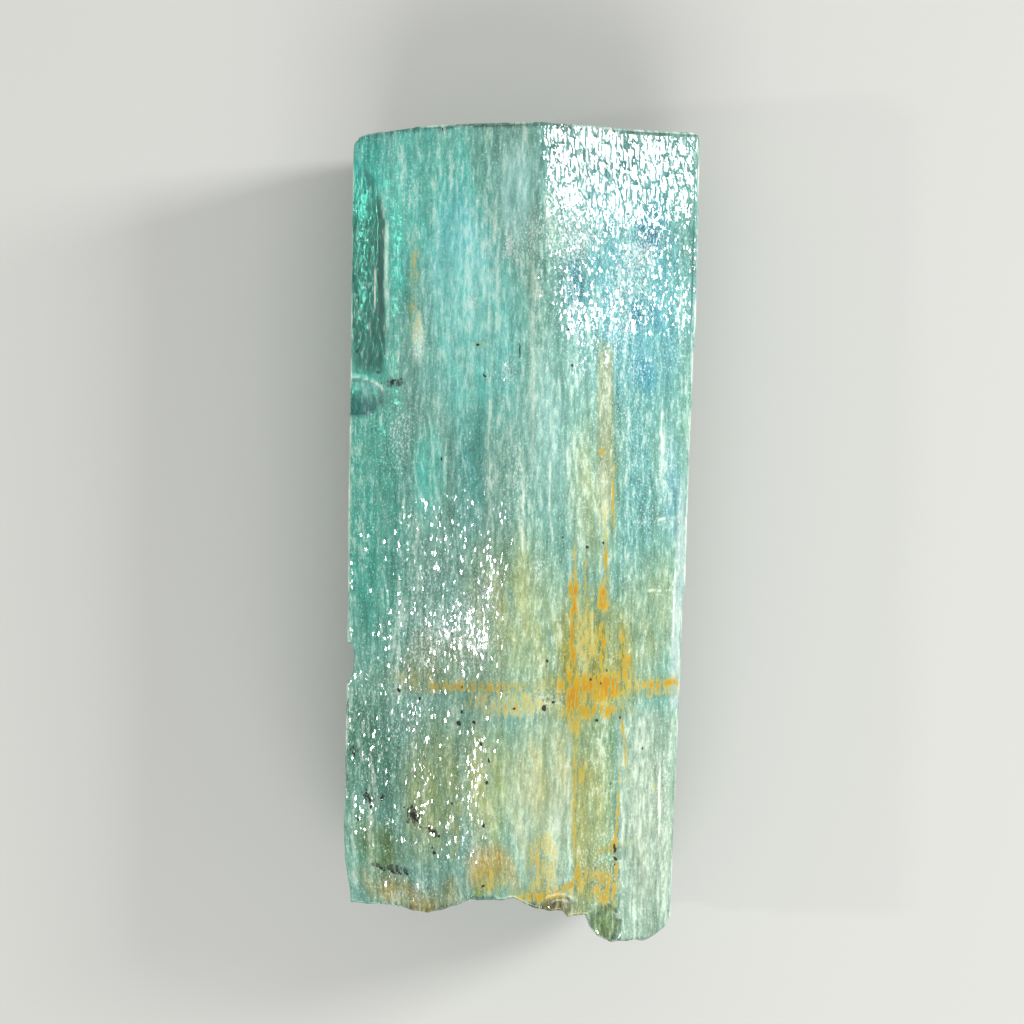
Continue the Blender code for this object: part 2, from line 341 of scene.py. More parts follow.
# Where the etched skin is frosted white, and where white glints are painted into the colour: centre, half size,
# strength.
FROST_AND_GLINTS = [
    ((4.4, 14.6), (7.2, 3.6), 1.0), ((5.0, 11.0), (5.4, 5.2), 0.8), ((5.4, 4.0), (4.0, 8.0), 0.25), ((-6.1, 18.4), (1.0, 1.5), 0.75),
    ((-5.4, 17.0), (0.8, 1.6), 0.6), ((-2.4, 11.3), (0.5, 0.9), 1.0), ((-0.6, 13.9), (0.5, 1.2), 1.0), ((-0.7, 8.0), (0.6, 1.3), 1.0),
    ((0.5, 12.6), (0.5, 5.4), 0.55), ((-6.0, 4.6), (1.3, 3.4), 0.6), ((-5.0, 9.4), (0.7, 1.8), 0.6), ((-3.2, -4.0), (5.2, 5.2), 0.75),
    ((-5.4, -8.0), (4.0, 5.0), 0.45), ((-5.4, -17.4), (4.0, 1.4), 0.6), ((-2.6, -12.4), (2.6, 5.6), 0.35), ((-0.5, 2.0), (1.4, 5.0), 0.35),
    ((1.2, -8.0), (4.4, 1.2), 0.45), ((6.8, -12.5), (0.8, 6.0), 0.4), ((3.6, -16.4), (2.2, 3.0), 0.45), ((1.2, -15.4), (1.4, 3.4), 0.5),
    ((6.4, 0.8), (1.6, 1.2), 0.55), ((4.05, 5.0), (0.4, 4.4), 0.2), ((0.7, -1.6), (0.7, 0.9), 0.8), ((-6.9, 3.6), (0.5, 2.4), 0.3),
]
frost_and_glints = np.full(len(verts), 0.10)
for centre, half, strength in FROST_AND_GLINTS:
    frost_and_glints = np.maximum(frost_and_glints, strength * spot(centre, half, core=0.1))
frost_and_glints = frost_and_glints * np.clip(0.8 + 0.55 * wave(x, y * 0.5, 42, 1.0), 0.25, 1.35)
store("frost_and_glints", frost_and_glints * np.where(upper, 1.0 - chipped, 0.3) * (1 - 0.6 * cells * upper) - 0.6 * chipped - 0.4 * ~is_side)


def linear(hex_colour):
    """An sRGB hex colour as linear red, green, blue and alpha."""
    parts = [int(hex_colour[i : i + 2], 16) / 255 for i in (1, 3, 5)]
    return [p / 12.92 if p <= 0.04045 else ((p + 0.055) / 1.055) ** 2.4 for p in parts] + [1.0]


# Growth zones, as the iron content changed: centre, half size, colour, strength.
ZONES = [
    ((-7.6, 14.0), (3.0, 11.0), "#3AD1C2", 0.95),
    ((-7.6, 1.7), (3.2, 10.0), "#40BBA8", 0.9),
    ((-4.2, 17.0), (4.2, 6.5), "#71E0D0", 0.9),
    ((-3.0, 13.5), (2.2, 5.5), "#7EF7FC", 0.8),
    ((-2.4, 9.5), (3.6, 7.0), "#84F7ED", 0.75),
    ((-2.5, 2.6), (1.3, 4.6), "#3CBCB4", 0.75),
    ((-4.6, 2.0), (1.2, 4.0), "#52F3E1", 0.7),
    ((-0.2, 16.5), (1.2, 3.4), "#C4FCF4", 0.85),
    ((4.6, 18.6), (5.2, 3.4), "#508072", 0.8),
    ((5.6, 12.0), (4.8, 8.0), "#72C8D1", 0.95),
    ((6.17, 14.6), (0.9, 1.5), "#1E89AE", 0.9),
    ((5.9, 10.8), (1.4, 1.5), "#2196AB", 0.85),
    ((2.6, 11.6), (1.0, 2.2), "#2791A6", 0.7),
    ((5.9, 7.7), (0.9, 1.3), "#209BBA", 0.85),
    ((5.6, 3.0), (1.3, 6.5), "#6AB9B8", 0.9),
    ((7.4, 2.4), (1.0, 4.4), "#8AC8CC", 0.85),
    ((1.2, 5.2), (1.7, 5.6), "#AFE3D7", 0.8),
    ((3.4, 1.5), (1.6, 5.0), "#C1D2A0", 0.75),
    ((-0.4, -3.5), (3.0, 5.0), "#CFDB97", 0.85),
    ((6.4, -4.0), (2.0, 4.0), "#B2C89B", 0.85),
    ((3.4, -6.0), (3.6, 4.0), "#C2B30D", 0.75),
    ((-4.0, -6.6), (4.0, 2.0), "#A3B584", 0.7),
    ((-7.6, -10.6), (2.6, 4.4), "#468A6E", 0.9),
    ((-4.2, -12.5), (2.6, 4.6), "#B0C27C", 0.9),
    ((-7.0, -15.6), (2.0, 2.4), "#86A76C", 0.95),
    ((-5.6, -17.9), (3.6, 1.3), "#BEB364", 0.9),
    ((0.9, -13.4), (2.4, 5.0), "#D5E4BD", 0.9),
    ((-1.6, -12.4), (1.5, 5.4), "#DDE38E", 0.8),
    ((3.2, -13.0), (1.3, 5.0), "#DCD47A", 0.85),
    ((-1.5, -16.8), (1.8, 1.6), "#D9B12A", 0.85),
    ((1.8, -17.4), (2.2, 1.5), "#BC960D", 0.8),
    ((4.05, -19.0), (1.0, 1.1), "#A6BC6C", 0.95),
    ((1.8, -18.1), (0.9, 0.4), "#E5FC1C", 0.8),
    ((-1.9, -17.9), (0.8, 0.4), "#7DA85C", 0.8),
    ((1.0, -10.2), (2.5, 3.6), "#DDDFA4", 0.8),
    ((6.2, -14.5), (1.5, 7.5), "#BCCAAD", 0.95),
]
wander_x = x + 0.18 * wave(x, y * 0.3, 21, 1.6) + 0.5 * wave(z, y * 0.2, 22, 1.0) * ~upper
wander_y = y + 1.0 * wave(x, y * 0.4, 23, 2.0)
tint = np.tile(linear("#8AC4B2"), (len(verts), 1))
broken = 0.86 + 0.30 * wave(x, y * 0.25, 26, 0.75) + 0.12 * wave(x, y * 0.5, 27, 0.3)
for centre, half, zone_colour, strength in ZONES:
    mask = np.clip(spot(centre, half, core=0.25, x=wander_x, y=wander_y) * strength * broken, 0, 1)[:, None]
    tint = tint * (1 - mask) + np.array(linear(zone_colour)) * mask
FACET_TINTS = [  # the narrow right strip by the break, its rim higher up, the cream seam, the chips
    (smooth(x, 4.58, 4.72) * smooth(-y, 8.2, 9.4), "#B0CCB2", 0.75),
    (smooth(x - along(RIGHT_EDGE, y), -0.62, -0.50) * smooth(-y, -3.0, 0.0) * (1 - smooth(-y, 8.0, 9.0)), "#C2DCD8", 0.8),
    (smooth(x, 3.62, 3.72) * (1 - smooth(x, 4.42, 4.50)) * smooth(y, 0.0, 2.0) * (1 - smooth(y, 8.9, 9.2)), "#BAC28C", 0.7),
    (smooth(x, 2.3, 2.6) * (1 - smooth(x, 4.45, 4.6)) * smooth(-y, 8.6, 9.4), "#A2B472", 0.55),
    (chipped * (y > 7.9) * (1 - smooth(y, 15.0, 18.0)), "#3A8F7F", 0.85),
    (chipped * (y > 5.0) * (y <= 7.9), "#8ADCD4", 0.75),
    (chipped * smooth(6.45 - 0.30 * (x + 8.0) ** 2, y - 0.30, y + 0.05) * (y > 5.0) * (x < -6.9), "#3F98AC", 0.55),
]
for mask, facet_colour, strength in FACET_TINTS:
    mask = (mask * strength * upper)[:, None]
    tint = tint * (1 - mask) + np.array(linear(facet_colour)) * mask
inner_depth = np.where(upper, 0.0, smooth(roof(x, y, np.clip((20 - y) / 39, 0, 1)) - z, 0.2, 3.5) * 0.85)
core_tone = np.clip(0.5 + 0.6 * wave(x * 1.3, z, 24, 2.6) + 0.3 * wave(y * 0.3, z, 25, 2.0), 0, 1)[:, None]
core_tint = np.array(linear("#5CB0A2")) * (1 - core_tone) + np.array(linear("#86C4B2")) * core_tone
tint = tint * (1 - inner_depth[:, None]) + core_tint * inner_depth[:, None]
mesh.attributes.new("growth_colour", "FLOAT_COLOR", "POINT").data.foreach_set("color", tint.ravel())

# Iron oxide along the cracks: centre, half size, turn, strength.
STAINS = [
    ((2.50, -4.4), (0.26, 6.0), 0, 0.9), ((2.46, -2.75), (0.50, 0.9), 0, 1.1), ((3.06, -1.9), (0.12, 1.7), 0, 0.7),
    ((4.45, 1.8), (0.13, 3.8), 0, 0.75), ((4.10, -1.6), (0.17, 4.4), 2, 0.85), ((3.94, -2.95), (0.40, 1.0), 0, 1.1),
    ((3.86, -5.6), (0.26, 3.0), 0, 0.9), ((4.90, -5.9), (0.28, 2.0), 0, 0.8), ((5.02, -6.4), (0.55, 1.2), 0, 1.1),
    ((3.5, -7.3), (3.4, 1.25), 0, 1.0), ((3.3, -8.6), (2.8, 0.7), 0, 0.8), ((-2.6, -7.3), (5.4, 0.8), -2, 0.50),
    ((-0.6, -8.2), (4.2, 0.8), 0, 0.44), ((6.7, -7.35), (2.6, 0.30), 3, 0.85), ((6.7, -7.9), (2.2, 0.22), 2, 0.5),
    ((2.46, -8.0), (0.75, 2.6), 0, 1.1), ((2.54, -13.0), (0.13, 7.0), -1, 0.75), ((1.95, -17.2), (1.5, 0.40), 28, 0.85),
    ((2.65, -16.6), (0.3, 1.3), 0, 0.8), ((4.97, -10.3), (0.13, 3.0), 6, 0.7), ((4.62, -14.8), (0.13, 6.0), -1, 0.85),
    ((4.5, -15.1), (0.34, 0.40), 0, 1.0), ((4.30, -15.2), (2.0, 0.13), 13, 0.75), ((1.0, -15.9), (1.2, 2.6), 0, 0.5),
    ((4.1, -17.2), (0.9, 1.6), 0, 0.75), ((0.9, -17.4), (2.4, 0.6), 0, 0.7), ((-5.25, 13.2), (0.42, 2.2), 0, 0.30),
    ((-5.3, 10.6), (0.5, 2.4), 8, 0.26), ((3.94, 4.0), (0.35, 0.30), 0, 1.1), ((4.0, 9.2), (0.9, 0.22), 0, 0.35),
    ((-1.6, -16.8), (1.5, 1.2), 0, 0.38), ((-2.1, 9.2), (0.50, 0.16), 0, 1.1), ((2.9, -11.6), (0.8, 1.2), 0, 0.4),
    ((-3.2, -14.6), (0.3, 2.4), -4, 0.4), ((-2.6, -7.3), (1.3, 0.5), 0, 0.5), ((6.6, -12.6), (0.25, 0.3), 0, 0.4),
    ((6.5, -7.45), (2.6, 0.85), 0, 0.52), ((3.2, -4.8), (1.2, 3.6), 0, 0.42), ((3.4, -16.9), (1.4, 1.6), 0, 0.46),
]
ragged_x = x + 0.05 * wave(x, y * 0.5, 31, 0.9) + 0.035 * wave(x, y, 32, 0.3)
ragged_y = y + 0.16 * wave(x * 0.7, y, 33, 0.8) + 0.10 * wave(x, y, 34, 0.35)
iron = np.zeros(len(verts))
for centre, half, angle, strength in STAINS:
    iron = np.maximum(iron, strength * spot(centre, half, angle, core=0.1, x=ragged_x, y=ragged_y))
seep = smooth(z, 6.0, 11.0) * np.clip(0.5 + 0.8 * wave(x, z, 35, 0.9), 0, 1.1)
store("iron_stain", iron * np.where(upper, 1.0, seep))

# Brown-black smudges of manganese oxide.
SMUDGES = [
    ((-7.55, -13.1), (0.45, 0.4), 20, 1.0), ((-6.8, -12.95), (0.3, 0.35), 0, 0.8), ((-5.35, -13.75), (0.6, 0.55), -20, 1.0),
    ((-4.35, -14.5), (0.5, 0.25), -30, 0.9), ((-6.2, -16.45), (1.3, 0.55), -8, 0.9), ((-7.2, -16.3), (0.7, 0.3), 0, 0.6),
    ((-8.3, -10.7), (0.5, 0.6), 60, 0.7), ((-7.4, -11.0), (0.3, 0.5), 0, 0.45), ((-6.3, 7.5), (0.75, 0.34), 0, 0.9),
    ((-7.0, 7.9), (0.5, 0.25), -20, 0.6), ((4.0, 7.4), (0.22, 1.1), 0, 0.5), ((4.0, 9.1), (0.6, 0.12), 0, 0.5), ((-2.1, 9.2), (0.4, 0.10), 0, 0.55), ((-6.2, 1.0), (0.16, 3.6), 5, 0.45),
    ((-7.1, 0.0), (0.14, 3.4), 7, 0.4), ((-7.7, 3.0), (0.1, 0.7), 0, 0.5), ((-5.5, -14.1), (1.5, 0.12), -21, 0.8),
    ((-7.7, -12.95), (1.2, 0.12), -34, 0.8), ((1.1, -7.9), (0.5, 0.3), 10, 0.5), ((2.2, -15.4), (0.3, 0.9), 0, 0.3),
]
smudge = np.zeros(len(verts))
for centre, half, angle, strength in SMUDGES:
    smudge = np.maximum(smudge, strength * spot(centre, half, angle, x=ragged_x, y=ragged_y))
store("smudge", smudge * upper)

# Healed cracks, worn edges and growth seams that show as pale lines, and a painted highlight on the grown end's right
# rim.
PALE = [
    ((4.05, 6.4), (0.36, 3.0), 0, 0.22), ((4.0, 1.6), (0.45, 3.4), 0, 0.25),
    ((6.8, 0.85), (1.4, 0.06), 0, 0.6), ((6.7, -2.65), (1.5, 0.07), 0, 0.7), ((6.8, -12.9), (0.10, 3.8), -1, 0.7),
    ((7.55, -2.8), (0.08, 3.4), -3, 0.8), ((6.9, 5.0), (0.12, 2.4), 0, 0.6), ((6.3, -13.4), (0.14, 4.0), 0, 0.3), ((6.1, -14.2), (1.7, 6.4), 0, 0.18), ((-2.6, 12.0), (2.6, 6.5), 0, 0.22),
    ((-7.3, 12.3), (0.10, 1.6), 2, 0.8), ((1.5, -14.6), (0.8, 4.0), 0, 0.30), ((2.25, -13.2), (0.14, 4.6), 0, 0.32),
    ((-0.2, -8.3), (3.0, 0.7), 0, 0.25), ((6.2, -9.5), (1.3, 1.8), 0, 0.15), ((0.5, 9.5), (0.25, 10.5), 0, 0.35),
    ((3.4, -4.5), (0.12, 2.0), 0, 0.4), ((-5.1, 9.6), (0.5, 2.2), 0, 0.5), ((1.3, 2.0), (0.10, 3.5), 0, 0.5),
    ((0.0, 1.0), (0.10, 4.0), 0, 0.5), ((-1.6, 3.5), (0.12, 4.5), 0, 0.4), ((2.2, 3.6), (0.14, 1.4), 0, 0.6),
]
pale = np.zeros(len(verts))
for centre, half, angle, strength in PALE:
    pale = np.maximum(pale, strength * spot(centre, half, angle, core=0.2, x=ragged_x, y=ragged_y))
rim_line = np.abs(x - along(SCOOP_RIM, y))
broken_up = np.clip(0.55 + 0.6 * wave(x * 0.3, y, 43, 1.1), 0.12, 1)
pale = np.maximum(pale, 0.55 * broken_up * (1 - smooth(rim_line, 0.02, 0.20)) * smooth(y, 7.6, 8.4) * (1 - smooth(y, 15.4, 18.2)))
shell_line = np.abs(np.hypot((x + 8.75) / 2.05, (y - 6.85) / 1.02) - 0.96)
pale = np.maximum(pale, 0.6 * (1 - smooth(shell_line, 0.01, 0.08)) * (y > 6.9) * (x < -6.9))
pale = np.where(upper, pale, 0.0)
edge = np.minimum(x - along(LEFT_EDGE, y), along(RIGHT_EDGE, y) - x)
worn_rim = (1 - smooth(edge, 0.02, 0.14)) * smooth(z, 7.9, 8.5) * np.clip(0.6 + 0.6 * wave(z, y, 44, 0.9), 0.1, 1)
top_rim = (1 - smooth(grown_y(x, z) - y, 0.03, 0.14)) * np.clip(0.5 + 0.7 * wave(x, z, 45, 1.1), 0.05, 1)
# On the right of the grown end the rim is lightened further: a painted highlight standing for light catching that edge.
top_rim = np.maximum(top_rim, 0.8 * smooth(x, 1.0, 3.5) * (1 - smooth(grown_y(x, z) - y, 0.05, 0.30)))
top_rim = top_rim * (0.35 + 0.65 * smooth(z, 7.5, 9.0))
pale = np.maximum(pale, 0.8 * np.maximum(worn_rim, top_rim) * is_side)
store("healed_seams_and_rim_highlight", pale)


def add(tree, kind, inputs=None, **settings):
    """Adds a node to a tree with its settings, values and links, and returns it."""
    made = tree.nodes.new(kind)
    for name, value in settings.items():
        setattr(made, name, value)
    for name, value in (inputs or {}).items():
        if isinstance(value, bpy.types.NodeSocket):
            tree.links.new(value, made.inputs[name])
        else:
            made.inputs[name].default_value = value
    return made


faces_tree = bpy.data.node_groups.new("natural_prism_faces", "GeometryNodeTree")
faces_tree.interface.new_socket("Geometry", in_out="INPUT", socket_type="NodeSocketGeometry")
faces_tree.interface.new_socket("Geometry", in_out="OUTPUT", socket_type="NodeSocketGeometry")
RELIEF = {
    "Striation Depth": 0.050,
    "Striation Spacing": 0.30,
    "Terrace Height": 0.10,
    "Terrace Width": 1.5,
    "Cell Width": 0.30,
    "Cell Length": 1.0,
    "Cell Slope": 0.05,
    "Facet Width": 0.17,
    "Facet Length": 0.36,
    "Facet Slope": 0.06,
}
for name, value in RELIEF.items():
    faces_tree.interface.new_socket(name, in_out="INPUT", socket_type="NodeSocketFloat")
entry = add(faces_tree, "NodeGroupInput").outputs
place = add(faces_tree, "GeometryNodeInputPosition")
in_mm = add(faces_tree, "ShaderNodeVectorMath", {0: place.outputs[0], 1: (1000, 1000, 1000)}, operation="MULTIPLY")


# Growth lines waver a little as they run, so the place that their patterns use is bent sideways.
slow = add(faces_tree, "ShaderNodeVectorMath", {0: in_mm.outputs[0], 1: (0.5, 0.16, 0.5)}, operation="MULTIPLY")
sway = add(faces_tree, "ShaderNodeTexNoise", {"Vector": slow.outputs[0], "Scale": 1.0, "Detail": 2.0})
sway = add(faces_tree, "ShaderNodeVectorMath", {0: sway.outputs["Color"], 1: (0.5, 0.5, 0.5)}, operation="SUBTRACT")
sway = add(faces_tree, "ShaderNodeVectorMath", {0: sway.outputs[0], 1: (1.5, 0.0, 0.0)}, operation="MULTIPLY")
bent = add(faces_tree, "ShaderNodeVectorMath", {0: in_mm.outputs[0], 1: sway.outputs[0]}, operation="ADD")


def stretched(length):
    """The place in mm with its length along the prism shortened, so patterns run lengthwise."""
    return add(
        faces_tree, "ShaderNodeVectorMath", {0: bent.outputs[0], 1: (1, length, 1)}, operation="MULTIPLY"
    ).outputs[0]


def number(kind, a, b=0.0):
    return add(faces_tree, "ShaderNodeMath", {0: a, 1: b}, operation=kind).outputs[0]


def named(name):
    return add(faces_tree, "GeometryNodeInputNamedAttribute", {"Name": name}, data_type="FLOAT").outputs["Attribute"]


def streaks(length, scale, detail, roughness, seed=0.0):
    return add(faces_tree, "ShaderNodeTexNoise", {
        "Vector": stretched(length), "W": seed, "Scale": scale, "Detail": detail, "Roughness": roughness,
    }, noise_dimensions="4D").outputs[0]


def tilted_facets(width, length, slope):
    """Height in mm of small flat facets, each tilted its own way."""
    size = add(faces_tree, "ShaderNodeCombineXYZ", {0: width, 1: length, 2: width})
    cell = add(faces_tree, "ShaderNodeVectorMath", {0: in_mm.outputs[0], 1: size.outputs[0]}, operation="DIVIDE")
    mosaic = add(faces_tree, "ShaderNodeTexVoronoi", {"Vector": cell.outputs[0], "Scale": 1.0})
    off = add(faces_tree, "ShaderNodeVectorMath", {0: cell.outputs[0], 1: mosaic.outputs["Position"]}, operation="SUBTRACT")
    tilt = add(faces_tree, "ShaderNodeVectorMath", {0: mosaic.outputs["Color"], 1: (0.5, 0.5, 0.5)}, operation="SUBTRACT")
    rise = add(faces_tree, "ShaderNodeVectorMath", {0: off.outputs[0], 1: tilt.outputs[0]}, operation="DOT_PRODUCT")
    return number("MULTIPLY", rise.outputs["Value"], number("MULTIPLY", slope, number("MULTIPLY", width, 2.0)))


striation = streaks(0.03, number("DIVIDE", 1.0, entry["Striation Spacing"]), 3.0, 0.6)
striation = number("MULTIPLY", number("SUBTRACT", striation, 0.5), entry["Striation Depth"])
striation = number("MULTIPLY", striation, number("SUBTRACT", 1.0, number("MULTIPLY", named("cells"), 0.9)))
steps = number("MULTIPLY", streaks(0.045, number("DIVIDE", 1.0, entry["Terrace Width"]), 2.0, 0.5), 9.0)
floor_of = add(faces_tree, "ShaderNodeMath", {0: steps}, operation="FLOOR").outputs[0]
rise = add(faces_tree, "ShaderNodeMapRange", {
    "Value": number("SUBTRACT", steps, floor_of), "From Min": 0.7, "From Max": 1.0,
}, interpolation_type="SMOOTHSTEP").outputs[0]
terrace = number("MULTIPLY", number("ADD", floor_of, rise), 0.11)
terrace = number("MULTIPLY", number("SUBTRACT", terrace, 0.5), entry["Terrace Height"])
fine_facets = tilted_facets(entry["Facet Width"], entry["Facet Length"], entry["Facet Slope"])
cell_facets = tilted_facets(entry["Cell Width"], entry["Cell Length"], entry["Cell Slope"])
height = number("ADD", striation, terrace)
height = number("ADD", height, number("MULTIPLY", fine_facets, named("etched")))
height = number("ADD", height, number("MULTIPLY", cell_facets, named("cells")))
height = number("MULTIPLY", number("MULTIPLY", height, named("prism_face")), 0.001)
normal = add(faces_tree, "GeometryNodeInputNormal")
offset = add(faces_tree, "ShaderNodeVectorMath", {0: normal.outputs[0], "Scale": height}, operation="SCALE")

# Patterns kept on the points for the material: growth bands, finer streaks and the walls between cells.
size = add(faces_tree, "ShaderNodeCombineXYZ", {0: entry["Cell Width"], 1: entry["Cell Length"], 2: entry["Cell Width"]})
cell = add(faces_tree, "ShaderNodeVectorMath", {0: in_mm.outputs[0], 1: size.outputs[0]}, operation="DIVIDE")
walls = add(faces_tree, "ShaderNodeTexVoronoi", {"Vector": cell.outputs[0], "Scale": 1.0}, feature="DISTANCE_TO_EDGE")
walls = add(faces_tree, "ShaderNodeMapRange", {
    "Value": walls.outputs["Distance"], "From Min": 0.02, "From Max": 0.15, "To Min": 1.0, "To Max": 0.0,
}).outputs[0]
# Patches where the streaks are strong lie beside smooth, glassy ones.
patch = add(faces_tree, "ShaderNodeMapRange", {
    "Value": streaks(0.35, 0.55, 2.0, 0.5, 8.1), "From Min": 0.38, "From Max": 0.62, "To Min": 0.25, "To Max": 1.5,
}).outputs[0]


def patchy_streak(value):
    return number("ADD", number("MULTIPLY", number("SUBTRACT", value, 0.5), patch), 0.5)


# The ends and chips cut across the growth tubes, so they look calmer and clearer than the faces.
calm = number("ADD", number("MULTIPLY", named("prism_face"), 0.6), 0.4)


def calmer(value):
    return number("ADD", number("MULTIPLY", number("SUBTRACT", value, 0.5), calm), 0.5)


kept = entry["Geometry"]
for name, value in (
    ("band", calmer(streaks(0.09, 1.3, 4.0, 0.65, 5.3))),
    ("streak", calmer(patchy_streak(streaks(0.085, 4.2, 3.0, 0.7)))),
    ("cell_wall", number("MULTIPLY", walls, named("cells"))),
):
    kept = add(faces_tree, "GeometryNodeStoreNamedAttribute", {
        "Geometry": kept, "Name": name, "Value": value,
    }, data_type="FLOAT", domain="POINT").outputs[0]
moved = add(faces_tree, "GeometryNodeSetPosition", {"Geometry": kept, "Offset": offset.outputs[0]})
# Nothing sinks below the surface that the crystal lies on.
place_now = add(faces_tree, "GeometryNodeInputPosition")
lowest = add(faces_tree, "ShaderNodeVectorMath", {0: place_now.outputs[0], 1: (-1, -1, 0)}, operation="MAXIMUM")
laid = add(faces_tree, "GeometryNodeSetPosition", {"Geometry": moved.outputs[0], "Position": lowest.outputs[0]})
wears = add(faces_tree, "GeometryNodeSetMaterial", {"Geometry": laid.outputs[0]})
realized = add(faces_tree, "GeometryNodeRealizeInstances", {"Geometry": wears.outputs[0]})
add(faces_tree, "NodeGroupOutput", {"Geometry": realized.outputs[0]})


# Aquamarine is clear beryl tinted by iron. Growth tubes and healed cracks cloud it, so it is
# part see-through and part milky; iron oxide stains its cracks orange.
beryl = bpy.data.materials.new("cloudy_aquamarine")
beryl.use_nodes = True
tree = beryl.node_tree
tree.nodes.clear()
laid_flat = add(tree, "ShaderNodeAttribute", attribute_name="laid_flat").outputs["Vector"]


def lengthwise(length):
    return add(tree, "ShaderNodeVectorMath", {0: laid_flat, 1: (1, length, 1)}, operation="MULTIPLY").outputs[0]


def calc(kind, a, b=0.0):
    return add(tree, "ShaderNodeMath", {0: a, 1: b}, operation=kind).outputs[0]


def ramp(value, low, high, to_low=0.0, to_high=1.0):
    return add(tree, "ShaderNodeMapRange", {
        "Value": value, "From Min": low, "From Max": high, "To Min": to_low, "To Max": to_high,
    }, interpolation_type="SMOOTHSTEP").outputs[0]


def noise(vector, scale, detail=2.0, roughness=0.5):
    return add(tree, "ShaderNodeTexNoise", {
        "Vector": vector, "Scale": scale, "Detail": detail, "Roughness": roughness,
    }, noise_dimensions="2D")


def blend(mask, under, over):
    return add(tree, "ShaderNodeMix", {0: mask, 6: under, 7: over}, data_type="RGBA").outputs[2]


def kept_value(name):
    return add(tree, "ShaderNodeAttribute", attribute_name=name).outputs["Fac"]


colour = add(tree, "ShaderNodeAttribute", attribute_name="growth_colour").outputs["Color"]
deep = add(tree, "ShaderNodeGamma", {"Color": colour, "Gamma": 1.9}).outputs[0]
milky = blend(0.62, colour, linear("#F4F7E4"))
band, streak = kept_value("band"), kept_value("streak")
grain = noise(lengthwise(0.24), 5.5, 2.0, 0.7).outputs[0]
growth = calc("ADD", calc("MULTIPLY", band, 0.55), calc("MULTIPLY", streak, 0.45))
mixed = calc("ADD", calc("MULTIPLY", growth, 0.68), calc("MULTIPLY", grain, 0.32))
colour = blend(ramp(growth, 0.49, 0.37, 0.0, 0.58), colour, deep)
colour = blend(ramp(grain, 0.42, 0.28, 0.0, 0.20), colour, deep)
colour = blend(ramp(mixed, 0.505, 0.605, 0.0, 0.70), colour, milky)
fine = noise(lengthwise(0.6), 12.0, 1.0, 0.75).outputs[0]
# White specks painted into the colour: partly the frosted etch skin, partly painted glints standing for light caught by
# the etch facets.
specks_and_glints = calc("ADD", fine, calc("MULTIPLY", kept_value("frost_and_glints"), 0.21))
colour = blend(ramp(fine, 0.44, 0.30, 0.0, 0.28), colour, deep)
colour = blend(ramp(specks_and_glints, 0.66, 0.76, 0.0, 0.80), colour, linear("#F2FFFB"))
# Pale seams and worn rims, with the painted highlight on the grown end's right rim.
seams_and_rim_highlight = calc("MULTIPLY", kept_value("healed_seams_and_rim_highlight"), ramp(grain, 0.30, 0.58, 0.25, 1.1))
colour = blend(seams_and_rim_highlight, colour, linear("#EDF3DF"))
# Darker blue-green along the walls between etch cells: painted shade in the grooves.
colour = blend(calc("MULTIPLY", kept_value("cell_wall"), 0.6), colour, linear("#3F8A98"))

stain = calc("MULTIPLY", kept_value("iron_stain"), ramp(grain, 0.36, 0.60, 0.30, 1.30))
stain = calc("MULTIPLY", stain, ramp(streak, 0.36, 0.58, 0.55, 1.15))
colour = blend(ramp(stain, 0.02, 0.35, 0.0, 0.60), colour, linear("#A8A034"))
colour = blend(ramp(stain, 0.25, 0.80, 0.0, 0.96), colour, linear("#AE8A06"))
colour = blend(ramp(stain, 0.85, 1.25, 0.0, 0.70), colour, linear("#A67004"))
dirt = calc("MULTIPLY", kept_value("smudge"), ramp(grain, 0.38, 0.58, 0.15, 1.5))
colour = blend(ramp(dirt, 0.15, 0.8, 0.0, 0.9), colour, linear("#1C2416"))

clear = ramp(mixed, 0.40, 0.62, 0.62, 0.30)
solid = calc("ADD", calc("ADD", stain, dirt), kept_value("healed_seams_and_rim_highlight"))
clear = calc("MULTIPLY", clear, ramp(solid, 0.1, 0.7, 1.0, 0.25))
clear = calc("MULTIPLY", clear, ramp(kept_value("prism_face"), 0.1, 0.8, 1.5, 1.0))
roughness = ramp(kept_value("etched"), 0.1, 0.9, 0.09, 0.12)


def facets(width, aspect, slope):
    """Height in mm of flat etch facets, each tilted its own way."""
    cell = add(tree, "ShaderNodeVectorMath", {
        0: laid_flat, 1: (1 / width, 1 / (width * aspect), 1),
    }, operation="MULTIPLY").outputs[0]
    mosaic = add(tree, "ShaderNodeTexVoronoi", {"Vector": cell, "Scale": 1.0}, voronoi_dimensions="2D")
    off = add(tree, "ShaderNodeVectorMath", {0: cell, 1: mosaic.outputs["Position"]}, operation="SUBTRACT")
    tilt = add(tree, "ShaderNodeVectorMath", {0: mosaic.outputs["Color"], 1: (0.5, 0.5, 0.5)}, operation="SUBTRACT")
    rise = add(tree, "ShaderNodeVectorMath", {0: off.outputs[0], 1: tilt.outputs[0]}, operation="DOT_PRODUCT")
    return calc("MULTIPLY", rise.outputs["Value"], 2 * slope * width)


etch_relief = calc("MULTIPLY", facets(0.075, 2.3, 0.46), kept_value("etched"))
grooves = calc("MULTIPLY", kept_value("cell_wall"), 0.02)
bump = add(tree, "ShaderNodeBump", {"Height": calc("SUBTRACT", etch_relief, grooves), "Strength": 1.0, "Distance": MM})
shader = add(tree, "ShaderNodeBsdfPrincipled", {
    "Base Color": colour, "Roughness": roughness, "IOR": 1.577, "Transmission Weight": clear, "Normal": bump.outputs[0],
})
absorb = add(tree, "ShaderNodeVolumeAbsorption", {"Color": linear("#A0DCCB"), "Density": 35.0})
add(tree, "ShaderNodeOutputMaterial", {"Surface": shader.outputs[0], "Volume": absorb.outputs[0]})

